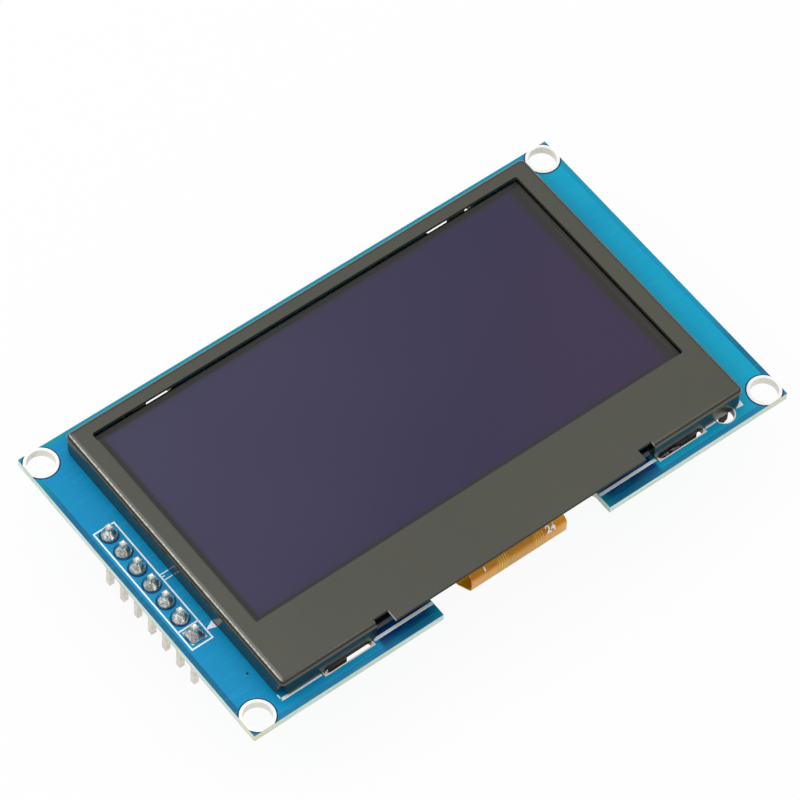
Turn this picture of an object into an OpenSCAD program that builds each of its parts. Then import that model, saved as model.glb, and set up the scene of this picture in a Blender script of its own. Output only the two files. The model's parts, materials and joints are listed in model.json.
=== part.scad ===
// Graphic display module: a glass panel under a stamped steel bezel, clipped to
// a circuit board with a seven-way pin header. +Z is the viewing direction, +X
// runs along the long side, and the origin is the centre of the four mounting
// holes on the board's top face.

/* [Board] */
// Width of the board beside each end of the bezel
side_margin = 4.8; // [4.2:0.1:8]
// Depth of the board in front of the bezel and behind it
edge_margin = 1.8; // [1.5:0.1:4]
// Thickness of the board
board_t = 1; // [0.8:0.1:1.6]
// Width of the notch that the flex cable folds through
notch_w = 22.5; // [16:0.1:30]
// Reach of that notch behind the glass's front edge
notch_reach = 0.65; // [0.4:0.05:1.2]
// Radius left by the router bit in the notch's inner corners
notch_r = 0.8; // [0.3:0.1:1.2]

/* [Mounting holes] */
// Finished diameter of a mounting hole
hole_d = 3.2; // [2.5:0.1:3.3]
// Width of the plated ring round a hole
ring_w = 0.35; // [0.2:0.05:0.6]
// Distance of a hole's centre from the short edge
hole_inset_x = 1.75; // [1.7:0.05:2.2]
// Distance of a hole's centre from the long edge
hole_inset_y = 1.78; // [1.7:0.01:2.2]

/* [Bezel] */
// Length of the window
window_w = 57.7; // [40:0.1:80]
// Depth of the window
window_d = 29.2; // [20:0.1:50]
// Shift of the bezel's centre towards the back edge
bezel_y = 0.05; // [-0.2:0.05:0.3]
// Height of the bezel's face above the board
bezel_h = 3; // [2.6:0.1:4]
// Thickness of the steel sheet
sheet_t = 0.4; // [0.3:0.05:0.5]
// Outer radius of the bends
bend_r = 0.7; // [0.55:0.05:0.9]
// Radius of the window's corners
window_r = 0.3; // [0.15:0.05:0.6]
// Length of each front flange
front_flange_l = 11.75; // [10.8:0.05:14]
// Reach of the lip in front of the front flanges
lip_out = 0.75; // [0.2:0.05:0.9]
// Width of the relief notch beside each front flange
relief_w = 1.95; // [1:0.05:2.5]
// Depth of that notch behind the front flanges' outer face
relief_d = 0.6; // [0.4:0.05:1]
// Radius of the flanges' lower corners
flange_r = 0.7; // [0.2:0.1:1]

/* [Tabs and slots] */
// Finished length of a tab slot
slot_l = 6.3; // [4:0.1:7]
// Finished width of a tab slot
slot_w = 1.2; // [0.9:0.05:1.3]
// Distance of the front slots' centres from the bezel's ends
slot_front_in = 8.7; // [8.4:0.1:9.2]
// Distance of the back slots' centres from the bezel's ends
slot_back_in = 10.6; // [6:0.1:14]
// Width of the plated rim on the slot's long sides
slot_rim = 0.15; // [0.1:0.01:0.2]
// Width of a tab
tab_w = 2.2; // [1.5:0.1:3]
// Offset of a tab from its slot's centre
tab_shift = 1.2; // [0:0.1:1.8]
// Length of a tab's twisted end below the board
tab_foot = 1.3; // [0.8:0.1:2]
// Twist of that end
tab_twist = 35; // [15:5:60]
// Distance of the locating pin from the bezel's end
key_in = 2.5; // [2.3:0.1:3]
// Finished diameter of the locating hole
key_d = 2.4; // [1.6:0.1:2.6]
// Width of the locating pin
key_w = 1; // [0.6:0.1:1.4]
// Reach of the locating pin below the board
key_below = 0.5; // [0.2:0.1:1.5]

/* [Display panel] */
// Margin of the glass beside each end of the window
glass_side = 1.4; // [0.8:0.1:3]
// Margin of the glass in front of the window
glass_fore = 7.1; // [6.5:0.1:10]
// Margin of the glass behind the window
glass_aft = 0.25; // [0.2:0.05:3]
// Gap between the glass and the front flanges
front_gap = 0.1; // [0.05:0.05:0.4]
// Gap between the glass and the flanges at its ends
end_gap = 0.55; // [0.1:0.05:1]
// Gap between the glass and the back flange
back_gap = 1.15; // [0.1:0.05:2]
// Thickness of the front glass
front_glass_t = 1.1; // [0.5:0.05:1.2]
// Thickness of the rear glass
cap_glass_t = 0.55; // [0.4:0.05:0.9]
// Depth of the ledge that the rear glass leaves free at the front
ledge_d = 4.6; // [4.2:0.1:6]
// Thickness of the polarizer film
film_t = 0.2; // [0.1:0.05:0.3]
// Margin of the film beside each end of the window
film_side = 0.4; // [0.2:0.1:0.8]
// Margin of the film in front of the window
film_fore = 0.75; // [0.3:0.05:1.5]
// Bare glass left behind the film
film_aft = 0.25; // [0.1:0.05:0.3]
// Thickness of the adhesive tape under the panel
tape_t = 0.15; // [0.1:0.05:0.4]
// Width of each strip of that tape
tape_w = 5; // [3:0.5:8]
// Inset of the strips from the glass's ends
tape_inset = 2; // [1:0.5:6]
// Length of the driver chip
chip_w = 12; // [8:0.5:16]
// Depth of the driver chip
chip_d = 1.3; // [0.9:0.1:1.6]
// Thickness of the driver chip
chip_t = 0.35; // [0.2:0.05:0.4]

/* [Flex cable] */
// Width of the flex cable
flex_w = 12.8; // [10:0.1:14]
// Thickness of the flex cable
flex_t = 0.12; // [0.1:0.01:0.2]
// Length bonded to the glass's ledge
flex_bond = 1.6; // [1.2:0.1:2]
// Reach of the fold in front of the glass
flex_out = 0.99; // [0.95:0.01:1.2]
// Radius of the fold's upper bend, to the middle of the sheet
flex_r1 = 0.95; // [0.8:0.05:1]
// Length of the straight drop in front of the board
flex_drop = 1; // [0.8:0.1:1.4]
// Radius of the fold's lower bend
flex_r2 = 0.9; // [0.7:0.05:1]
// Slope of the loop where it runs back below the board
flex_slope = 35; // [30:1:40]
// Length of the loop's sloping stretch
flex_run = 2; // [1.5:0.1:3]
// Radius of the loop's belly
flex_r3 = 1.6; // [1.2:0.1:2.2]
// Slope at which the loop climbs back to the board
flex_climb = 20; // [15:1:25]
// Radius of the bend that lays the tail on the board
flex_r4 = 2; // [1.5:0.1:3]
// Length of the tail soldered to the board
flex_tail = 2.6; // [2.2:0.1:4]
// Number of the tail's solder joints
flex_ways = 20; // [8:1:24]
// Pitch of those joints
flex_pitch = 0.6; // [0.5:0.01:0.62]
// Width of one joint
flex_joint_w = 0.32; // [0.2:0.01:0.4]
// Length of one joint
flex_joint_l = 1.8; // [1.2:0.1:2.2]
// Height of one joint over the tail
flex_joint_h = 0.14; // [0.1:0.01:0.2]

/* [Pin header] */
// Number of pins
pins = 7; // [2:1:8]
// Pitch of the pins
pitch = 2.54; // [2:0.01:2.54]
// Distance of the pin row from the short edge
header_inset = 2.28; // [2.1:0.01:2.4]
// Side of a square pin
pin_side = 0.64; // [0.5:0.01:0.66]
// Length of a pin
pin_l = 11.6; // [10:0.1:16]
// Height of a pin's tip above the board
pin_top = 1.95; // [1.6:0.05:2.4]
// Chamfer at both ends of a pin
pin_chamfer = 0.18; // [0.05:0.01:0.25]
// Width and height of the plastic housing
housing = 2.54; // [2:0.01:2.6]
// Chamfer between two cells of the housing
cell_chamfer = 0.5; // [0.2:0.05:0.6]
// Gap between a pin's corners and its hole
pin_play = 0.06; // [0.03:0.01:0.12]
// Width of the pad round a pin's hole
pin_pad_w = 0.42; // [0.3:0.01:0.45]
// Height of the solder round a pin
solder_h = 1.35; // [1:0.05:1.5]
// Thickness of the solder over a pin's corners at its top
solder_lip = 0.05; // [0.02:0.01:0.1]
// Margin of bare pad round the solder
solder_inset = 0.02; // [0.01:0.01:0.1]

/* [Rear circuit] */
// Distance of the power coil from the board's right-hand end
coil_in = 20; // [17:0.5:24]
// Distance of the regulator from the board's left-hand end
regulator_in = 16; // [12:0.5:20]
// Distance of both parts from the board's back edge
row_in = 12.1; // [10:0.1:14]
// Distance of the converter chip and of the diode from the coil
beside_coil = 6.5; // [5.5:0.1:8]
// Distance of the resistors in front of that row
res_fore = 7.5; // [6:0.1:9]
// Thickness of pads and plating
copper_t = 0.05; // [0.03:0.01:0.08]
// Wall of the plated barrels
barrel_t = 0.1; // [0.05:0.01:0.12]
// Side of the power coil
coil_side = 4; // [3:0.1:5]
// Height of the power coil
coil_h = 1.8; // [1.2:0.1:2.5]
// Radius of the coil's upright edges
coil_r = 0.5; // [0.2:0.1:1]
// Width of the coil's end terminals
terminal_w = 2; // [1:0.1:2.8]
// Height of those terminals
terminal_h = 0.9; // [0.5:0.1:1.2]
// Thickness of those terminals
terminal_t = 0.1; // [0.05:0.01:0.2]
// Length of the converter chip's body
ic_w = 2.9; // [2.6:0.1:3.1]
// Depth of the converter chip's and the regulator's bodies
ic_d = 1.6; // [1.4:0.1:1.8]
// Height of those bodies above the board's rear
ic_h = 1.1; // [0.9:0.05:1.3]
// Length of the diode's body
diode_w = 2.7; // [2.4:0.1:3]
// Depth of the diode's body
diode_d = 1.6; // [1.2:0.1:1.8]
// Gap between a moulded body and the board
stand_off = 0.1; // [0.05:0.05:0.2]
// Draft of a moulded body's ends
body_draft = 0.1; // [0.05:0.05:0.2]
// Width of a chip's lead
lead_w = 0.4; // [0.3:0.05:0.5]
// Pitch of a chip's leads
lead_pitch = 0.95; // [0.8:0.05:1.1]
// Width of the diode's leads
diode_lead_w = 0.9; // [0.5:0.1:1.2]
// Thickness of a lead
lead_t = 0.15; // [0.1:0.01:0.2]
// Reach of a lead beside its body
lead_out = 0.6; // [0.4:0.05:0.8]
// Length of a chip capacitor
cap_l = 2; // [1.6:0.1:2.2]
// Depth of a chip capacitor
cap_d = 1.25; // [0.8:0.05:1.3]
// Height of a chip capacitor
cap_h = 0.95; // [0.6:0.05:1.3]
// Length of a chip resistor
res_l = 1.6; // [1.4:0.1:1.8]
// Depth of a chip resistor
res_d = 0.8; // [0.6:0.05:0.9]
// Height of a chip resistor
res_h = 0.45; // [0.3:0.05:0.5]
// Number of chip resistors
resistors = 8; // [1:1:9]
// Pitch of the chip resistors along their row
res_pitch = 3; // [2.4:0.1:3.2]
// Length of a chip part's tinned ends
end_l = 0.35; // [0.2:0.05:0.45]
// Height of those ends over the ceramic
end_t = 0.03; // [0.01:0.01:0.05]

/* [Hidden] */
$fn = 48;

// The window sets the glass, the glass sets the bezel, and the bezel sets the board
glass_w = window_w + 2 * glass_side;
glass_d = glass_fore + window_d + glass_aft;
bezel_w = glass_w + 2 * (end_gap + sheet_t);
bezel_d = front_gap + glass_d + back_gap + 2 * sheet_t;
board_w = bezel_w + 2 * side_margin;
board_d = bezel_d + 2 * edge_margin;

// Rear circuit: centres of its parts. The capacitors lie beside the part that they serve.
row_y = board_d / 2 - row_in;
coil_at = [board_w / 2 - coil_in, row_y];
converter_at = coil_at - [beside_coil, 0];
diode_at = coil_at + [beside_coil, 0];
regulator_at = [regulator_in - board_w / 2, row_y];
cap_at = [converter_at + [0, 4], coil_at + [0, 5.2], diode_at + [0, 3.6],
    regulator_at + [0, 4], regulator_at + [4.5, 0], regulator_at - [4.5, 0]];

// Board's rear face, the length by which cuts run out of a piece, and the steps of a curve
rear_z = -board_t;
cut = 1;
twist_steps = 6;
solder_steps = 6;

// Bezel: outer faces and bend lines. Its flanges stand on the plated rims of the slots.
bezel_back = bezel_y + bezel_d / 2;
bezel_front = bezel_y - bezel_d / 2;
flat_w = bezel_w - 2 * bend_r;
flat_back = bezel_back - bend_r;
flat_front = bezel_front + bend_r;
flange_z = copper_t;
flange_h = bezel_h - bend_r - flange_z;
front_flange_x = flat_w / 2 - front_flange_l;
lip_half = front_flange_x - relief_w;
lip_y = bezel_front - lip_out;

// Slots lie under the flanges, so their width is centred on the sheet
slot_front_x = bezel_w / 2 - slot_front_in;
slot_back_x = bezel_w / 2 - slot_back_in;
slot_front_y = bezel_front + sheet_t / 2;
slot_back_y = bezel_back - sheet_t / 2;
key_x = bezel_w / 2 - key_in;
tab_front_x = slot_front_x + tab_shift;
tab_back_x = slot_back_x + tab_shift;

// Panel: seated behind the front flanges, stacked up from the board
glass_front = bezel_front + sheet_t + front_gap;
glass_back = glass_front + glass_d;
window_y = glass_front + glass_fore + window_d / 2;
film_w = window_w + 2 * film_side;
film_d = film_fore + window_d + glass_aft - film_aft;
cap_z = tape_t;
front_glass_z = cap_z + cap_glass_t;
film_z = front_glass_z + front_glass_t;
cap_glass_d = glass_d - ledge_d;
notch_d = board_d / 2 + glass_front + notch_reach;

// Header: centre of the row and the first pin's place
header_x = -board_w / 2 + header_inset;
function pin_y(i) = ((pins + 1) / 2 - i) * pitch;
pin_corner = pin_side / sqrt(2);
pin_hole_d = 2 * (pin_corner + pin_play);
pad_half = pin_hole_d / 2 + pin_pad_w;
solder_top_r = pin_corner + solder_lip;

// Flex cable: middle line, as tangent arcs and straights from the ledge to the tail.
// heading 0 runs towards the front, and a bend turns it down and then back.
flex_step = 9;
flex_z0 = front_glass_z - flex_t / 2;
flex_lead = flex_out + flex_bond - flex_r1;
function heading(a) = [-cos(a), -sin(a)];
function turn(p, a0, a1, r) = let (n = ceil(abs(a1 - a0) / flex_step), s = sign(a1 - a0))
    [for (i = [1:n]) let (a = a0 + (a1 - a0) * i / n)
        p + s * r * ([sin(a0), -cos(a0)] - [sin(a), -cos(a)]) ];
function last(v) = v[len(v) - 1];
belly_a = 180 - flex_slope;
climb_a = 180 + flex_climb;
flex_a = [glass_front + flex_bond, flex_z0];
flex_b = flex_a + flex_lead * heading(0);
flex_bend1 = turn(flex_b, 0, 90, flex_r1);
flex_c = last(flex_bend1) + flex_drop * heading(90);
flex_bend2 = turn(flex_c, 90, belly_a, flex_r2);
flex_d = last(flex_bend2) + flex_run * heading(belly_a);
flex_bend3 = turn(flex_d, belly_a, climb_a, flex_r3);
tail_z = rear_z - copper_t - flex_t / 2;
flex_rise = tail_z - last(flex_bend3)[1] - flex_r4 * (1 - cos(flex_climb));
flex_e = last(flex_bend3) + flex_rise / sin(flex_climb) * heading(climb_a);
flex_bend4 = turn(flex_e, climb_a, 180, flex_r4);
flex_f = last(flex_bend4) + [flex_tail, 0];
flex_line = concat([flex_a, flex_b], flex_bend1, [flex_c], flex_bend2, [flex_d],
    flex_bend3, [flex_e], flex_bend4, [flex_f]);
tail_mid = flex_f[0] - flex_tail / 2;

// Offset of the middle line by d: each point moves along the mean of its two normals
function unit(v) = v / norm(v);
function normal(v) = [-v[1], v[0]];
function beside(line, d) = let (n = len(line))
    [for (i = [0:n - 1])
        let (u = unit(line[min(i + 1, n - 1)] - line[max(i - 1, 0)])) line[i] + d * normal(u)];
function reversed(v) = [for (i = [len(v) - 1:-1:0]) v[i]];

// --- shared shapes ---

// Plate with rounded corners, in plan
module rounded(w, d, r) {
    square([w - 2 * r, d], center = true);
    square([w, d - 2 * r], center = true);
    for (x = [-1, 1], y = [-1, 1])
        translate([x * (w / 2 - r), y * (d / 2 - r)]) circle(r);
}

// Slot with round ends, in plan
module slot(l, w) {
    square([l - w, w], center = true);
    for (s = [-1, 1]) translate([s * (l - w) / 2, 0]) circle(d = w);
}

// Places its children at the four tab slots
module at_slots() {
    for (s = [-1, 1]) {
        translate([s * slot_front_x, slot_front_y, 0]) children();
        translate([s * slot_back_x, slot_back_y, 0]) children();
    }
}

// --- board ---

module notch() {
    square([notch_w, 2 * (notch_d - notch_r)], center = true);
    square([notch_w - 2 * notch_r, 2 * notch_d], center = true);
    for (s = [-1, 1])
        translate([s * (notch_w / 2 - notch_r), notch_d - notch_r]) circle(notch_r);
}

module board() {
    color([0.05, 0.45, 0.65])
    translate([0, 0, rear_z])
    difference() {
        linear_extrude(board_t) difference() {
            square([board_w, board_d], center = true);
            translate([0, -board_d / 2]) notch();
            for (x = [-1, 1], y = [-1, 1])
                translate([x * (board_w / 2 - hole_inset_x), y * (board_d / 2 - hole_inset_y)])
                    circle(d = hole_d + 2 * barrel_t);
            for (i = [1:pins])
                translate([header_x, pin_y(i)]) circle(d = pin_hole_d + 2 * barrel_t);
            translate([key_x, slot_front_y]) circle(d = key_d + 2 * barrel_t);
        }
        translate([0, 0, -cut]) linear_extrude(board_t + 2 * cut)
            at_slots() slot(slot_l + 2 * barrel_t, slot_w + 2 * barrel_t);
    }
}

// Plated ring and barrel of a mounting hole, cut off flush where it meets the board's edge
module mounting_ring(i) {
    sx = i % 2 == 1 ? -1 : 1;
    sy = i > 2 ? -1 : 1;
    color([0.85, 0.85, 0.83])
    intersection() {
        translate([sx * (board_w / 2 - hole_inset_x), sy * (board_d / 2 - hole_inset_y), 0])
            barrel(hole_d, hole_d + 2 * ring_w);
        translate([0, 0, rear_z - cut]) linear_extrude(board_t + 2 * cut)
            square([board_w, board_d], center = true);
    }
}

// Barrel with a round pad on both faces of the board
module barrel(d, pad) {
    difference() {
        union() {
            translate([0, 0, rear_z]) cylinder(d = d + 2 * barrel_t, h = board_t);
            cylinder(d = pad, h = copper_t);
            translate([0, 0, rear_z - copper_t]) cylinder(d = pad, h = copper_t);
        }
        translate([0, 0, rear_z - cut]) cylinder(d = d, h = board_t + 2 * cut);
    }
}

module slot_rims() {
    color([0.85, 0.85, 0.83])
    at_slots() difference() {
        union() {
            translate([0, 0, rear_z])
                linear_extrude(board_t) slot(slot_l + 2 * barrel_t, slot_w + 2 * barrel_t);
            for (z = [0, rear_z - copper_t]) translate([0, 0, z]) linear_extrude(copper_t)
                square([slot_l + 2 * slot_rim, slot_w + 2 * slot_rim], center = true);
        }
        translate([0, 0, rear_z - cut]) linear_extrude(board_t + 2 * cut) slot(slot_l, slot_w);
    }
}

module key_rim() {
    color([0.85, 0.85, 0.83])
    translate([key_x, slot_front_y, 0]) barrel(key_d, key_d + 2 * slot_rim);
}

// --- bezel ---

// Flange in its own plane: X along it, Y up from its foot, with round lower corners
module flange_outline(l) {
    translate([0, flange_r]) square([l, flange_h - flange_r]);
    translate([flange_r, 0]) square([l - 2 * flange_r, flange_r]);
    for (x = [flange_r, l - flange_r]) translate([x, flange_r]) circle(flange_r);
}

// Section of a quarter bend: it starts straight down on +X and ends level on +Y
module bend_section() {
    intersection() {
        difference() {
            circle(bend_r);
            circle(bend_r - sheet_t);
        }
        square(bend_r);
    }
}

// One folded edge of length l: it runs along +X from the origin with its outer face at
// y = 0, and a quarter bend joins the flange to the face plate behind it
module folded_edge(l) {
    translate([0, sheet_t, flange_z])
        rotate([90, 0, 0]) linear_extrude(sheet_t) flange_outline(l);
    translate([l, bend_r, bezel_h - bend_r]) rotate([90, 0, -90]) linear_extrude(l) bend_section();
}

// Drawn corner over the slit between two flanges: the bend's section turned through a quarter
module drawn_corners() {
    ends = [[1, flat_back], [-1, flat_back], [-1, flat_front], [1, flat_front]];
    for (i = [0:3])
        translate([ends[i].x * flat_w / 2, ends[i].y, bezel_h - bend_r])
            rotate(i * 90) rotate_extrude(angle = 90) bend_section();
}

// Tab below a flange: straight through the board, then twisted to lock it
module tab(turn_way) {
    neck = board_t + copper_t + flange_z;
    translate([-tab_w / 2, -sheet_t / 2, flange_z - neck]) cube([tab_w, sheet_t, neck]);
    translate([0, 0, flange_z - neck]) mirror([0, 0, 1])
        linear_extrude(tab_foot, twist = turn_way * tab_twist, slices = twist_steps, $fn = 4)
            square([tab_w, sheet_t], center = true);
}

module locating_pin() {
    reach = flange_z + board_t + key_below;
    translate([-key_w / 2, sheet_t / 2, flange_z]) rotate([90, 0, 0]) linear_extrude(sheet_t) {
        translate([0, key_w / 2 - reach]) square([key_w, reach - key_w / 2]);
        translate([key_w / 2, key_w / 2 - reach]) circle(d = key_w);
    }
}

module face_plate() {
    difference() {
        union() {
            translate([-flat_w / 2, flat_front]) square([flat_w, flat_back - flat_front]);
            translate([-lip_half, lip_y]) square([2 * lip_half, flat_front - lip_y]);
        }
        translate([0, window_y]) rounded(window_w, window_d, window_r);
        for (s = [-1, 1])
            translate([s * (lip_half + relief_w / 2), bezel_front + relief_d / 2])
                square([relief_w, relief_d], center = true);
    }
}

module bezel() {
    side_l = flat_back - flat_front;
    color([0.27, 0.27, 0.25]) {
        translate([0, 0, bezel_h - sheet_t]) linear_extrude(sheet_t) face_plate();
        drawn_corners();
        translate([flat_w / 2, bezel_back, 0]) rotate(180) folded_edge(flat_w);
        translate([-bezel_w / 2, flat_back, 0]) rotate(-90) folded_edge(side_l);
        translate([bezel_w / 2, flat_front, 0]) rotate(90) folded_edge(side_l);
        for (x = [front_flange_x, -front_flange_x - front_flange_l])
            translate([x, bezel_front, 0]) folded_edge(front_flange_l);
        for (s = [-1, 1]) {
            translate([s * tab_front_x, slot_front_y, 0]) tab(s);
            translate([s * tab_back_x, slot_back_y, 0]) tab(-s);
        }
        translate([key_x, slot_front_y, 0]) locating_pin();
    }
}

// --- display panel ---

// Sheet of the panel, from its back edge forwards
module panel_sheet(w, d, t, back, z) {
    translate([-w / 2, back - d, z]) cube([w, d, t]);
}

module front_glass() {
    color([0.25, 0.25, 0.28])
        panel_sheet(glass_w, glass_d, front_glass_t, glass_back, front_glass_z);
}

module rear_glass() {
    color([0.2, 0.2, 0.22])
        panel_sheet(glass_w, cap_glass_d, cap_glass_t, glass_back, cap_z);
}

module polarizer() {
    color([0.22, 0.19, 0.28])
        panel_sheet(film_w, film_d, film_t, glass_back - film_aft, film_z);
}

module panel_tape() {
    l = cap_glass_d - 2 * tape_inset;
    color([0.9, 0.9, 0.88])
    for (s = [-1, 1])
        translate([s * (glass_w / 2 - tape_inset - tape_w / 2), glass_back - cap_glass_d / 2,
            tape_t / 2]) cube([tape_w, l, tape_t], center = true);
}

module driver_chip() {
    free_d = ledge_d - flex_bond;
    color([0.12, 0.12, 0.13])
    translate([-chip_w / 2, glass_front + flex_bond + (free_d - chip_d) / 2,
        front_glass_z - chip_t]) cube([chip_w, chip_d, chip_t]);
}

// --- flex cable ---

module flex_cable() {
    color([0.8, 0.5, 0.08])
    translate([-flex_w / 2, 0, 0]) rotate([90, 0, 90]) linear_extrude(flex_w)
        polygon(concat(beside(flex_line, flex_t / 2), reversed(beside(flex_line, -flex_t / 2))));
}

module flex_joints() {
    base_z = tail_z - flex_t / 2;
    half = flex_joint_w / 2;
    color([0.75, 0.75, 0.73])
    for (i = [1:flex_ways])
        translate([((flex_ways + 1) / 2 - i) * flex_pitch, tail_mid + flex_joint_l / 2, base_z])
            rotate([90, 0, 0]) linear_extrude(flex_joint_l)
                polygon([[-half, 0], [half, 0], [half / 2, -flex_joint_h], [-half / 2, -flex_joint_h]]);
}

// --- pin header ---

module header_pin(i) {
    h = pin_side / 2;
    c = pin_chamfer;
    side = [[-h + c, 0], [h - c, 0], [h, c], [h, pin_l - c], [h - c, pin_l],
        [-h + c, pin_l], [-h, pin_l - c], [-h, c]];
    color([0.78, 0.75, 0.7])
    translate([header_x, pin_y(i), pin_top - pin_l])
        intersection() {
            translate([0, h, 0]) rotate([90, 0, 0]) linear_extrude(pin_side) polygon(side);
            translate([-h, 0, 0]) rotate([90, 0, 90]) linear_extrude(pin_side) polygon(side);
        }
}

// Square hole for a pin, through everything
module pin_square() {
    translate([-pin_side / 2, -pin_side / 2, pin_top - pin_l])
        cube([pin_side, pin_side, 2 * pin_l]);
}

module header_housing() {
    h = housing / 2;
    w = pitch / 2;
    c = cell_chamfer;
    color([0.08, 0.08, 0.08])
    difference() {
        translate([0, 0, rear_z - copper_t - housing]) linear_extrude(housing)
            for (i = [1:pins]) translate([header_x, pin_y(i)])
                polygon([[-h + c, -w], [h - c, -w], [h, c - w], [h, w - c], [h - c, w],
                    [-h + c, w], [-h, w - c], [-h, c - w]]);
        for (i = [1:pins]) translate([header_x, pin_y(i), 0]) pin_square();
    }
}

// Pads and barrels of the pin holes; the last pad is square
module pin_pads() {
    color([0.8, 0.8, 0.78])
    for (i = [1:pins]) translate([header_x, pin_y(i), 0]) {
        if (i < pins) barrel(pin_hole_d, 2 * pad_half);
        else difference() {
            union() {
                translate([0, 0, rear_z]) cylinder(d = pin_hole_d + 2 * barrel_t, h = board_t);
                for (z = [0, rear_z - copper_t])
                    translate([0, 0, z]) linear_extrude(copper_t) square(2 * pad_half, center = true);
            }
            translate([0, 0, rear_z - cut]) cylinder(d = pin_hole_d, h = board_t + 2 * cut);
        }
    }
}

// Solder cone: it rises in a hollow curve from the pad's rim to the pin
module pin_solder(i) {
    foot_r = pad_half - solder_inset;
    rise = [for (k = [0:solder_steps]) let (t = k / solder_steps)
        [solder_top_r + (foot_r - solder_top_r) * pow(1 - t, 2), solder_h * t]];
    color([0.75, 0.75, 0.73])
    translate([header_x, pin_y(i), copper_t]) difference() {
        rotate_extrude() polygon(concat([[0, 0]], rise, [[0, solder_h]]));
        translate([0, 0, -copper_t]) pin_square();
    }
}

// --- rear circuit: every part hangs below the board's rear face ---

module power_coil() {
    color([0.25, 0.25, 0.26])
    translate([coil_at[0], coil_at[1], rear_z - coil_h])
        linear_extrude(coil_h) rounded(coil_side - 2 * terminal_t, coil_side, coil_r);
}

module coil_terminals() {
    color([0.8, 0.8, 0.78])
    for (s = [-1, 1])
        translate([coil_at[0] + s * (coil_side - terminal_t) / 2, coil_at[1],
            rear_z - terminal_h / 2]) cube([terminal_t, terminal_w, terminal_h], center = true);
}

// Moulded chip body of width w and depth d, drafted at its ends above and below the
// middle of its height
module moulded(w, d) {
    x = w / 2;
    deep = ic_h - stand_off;
    translate([0, d / 2, rear_z - stand_off]) rotate([90, 0, 0]) linear_extrude(d)
        polygon([[body_draft - x, 0], [x - body_draft, 0], [x, -deep / 2],
            [x - body_draft, -deep], [body_draft - x, -deep], [-x, -deep / 2]]);
}

// Gull-wing lead that leaves the body at mid height and lies on the board
module lead(w) {
    mid = (ic_h + stand_off) / 2;
    t = lead_t / 2;
    knee = lead_out / 2;
    rotate([90, 0, 90]) translate([0, 0, -w / 2]) linear_extrude(w)
        polygon([[0, t - mid], [knee - t, t - mid], [knee - t, 0], [lead_out, 0],
            [lead_out, -lead_t], [knee + t, -lead_t], [knee + t, -t - mid], [0, -t - mid]]);
}

module converter_chip() {
    color([0.1, 0.1, 0.1])
    translate([converter_at[0], converter_at[1], 0]) moulded(ic_w, ic_d);
}

module converter_leads() {
    color([0.8, 0.8, 0.78])
    translate([converter_at[0], converter_at[1], rear_z])
        for (r = [0, 180], x = [-lead_pitch, 0, lead_pitch])
            rotate(r) translate([x, ic_d / 2, 0]) lead(lead_w);
}

module regulator() {
    color([0.1, 0.1, 0.1])
    translate([regulator_at[0], regulator_at[1], 0]) moulded(ic_w, ic_d);
}

module regulator_leads() {
    color([0.8, 0.8, 0.78])
    translate([regulator_at[0], regulator_at[1], rear_z]) {
        for (s = [-1, 1]) translate([s * lead_pitch, ic_d / 2, 0]) lead(lead_w);
        rotate(180) translate([0, ic_d / 2, 0]) lead(lead_w);
    }
}

module diode() {
    color([0.12, 0.12, 0.12])
    translate([diode_at[0], diode_at[1], 0]) moulded(diode_w, diode_d);
}

module diode_leads() {
    color([0.8, 0.8, 0.78])
    translate([diode_at[0], diode_at[1], rear_z])
        for (r = [-90, 90]) rotate(r) translate([0, diode_w / 2, 0]) lead(diode_lead_w);
}

// Chip part lying along X, with tinned ends that stand a little proud of its ceramic
module chip_part(l, d, h) {
    translate([-l / 2, -d / 2, -h]) {
        for (x = [0, l - end_l]) translate([x, 0, 0]) cube([end_l, d, h]);
        translate([end_l, end_t, end_t]) cube([l - 2 * end_l, d - 2 * end_t, h - 2 * end_t]);
    }
}

module capacitor(i) {
    color([0.72, 0.6, 0.45])
    translate([cap_at[i - 1][0], cap_at[i - 1][1], rear_z]) chip_part(cap_l, cap_d, cap_h);
}

module resistor(i) {
    color([0.12, 0.12, 0.13])
    translate([(i - (resistors + 1) / 2) * res_pitch, row_y - res_fore, rear_z])
        rotate(90) chip_part(res_l, res_d, res_h);
}

board();
bezel();
front_glass();
rear_glass();
polarizer();
panel_tape();
driver_chip();
flex_cable();
flex_joints();
header_housing();
pin_pads();
slot_rims();
key_rim();
power_coil();
coil_terminals();
converter_chip();
converter_leads();
regulator();
regulator_leads();
diode();
diode_leads();
for (i = [1:4]) mounting_ring(i);
for (i = [1:pins]) header_pin(i);
for (i = [1:pins]) pin_solder(i);
for (i = [1:len(cap_at)]) capacitor(i);
for (i = [1:resistors]) resistor(i);
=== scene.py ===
"""Finishes and fine pieces of a graphic display module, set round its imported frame.

Lengths are millimetres in the frame's own axes: +X runs away from the pin header, +Y towards the
edge opposite the flex cable and +Z out of the display. Meshes are made in metres.
"""
import json
import math

import bmesh
import bpy
import numpy as np
from mathutils import Matrix, Vector


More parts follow.
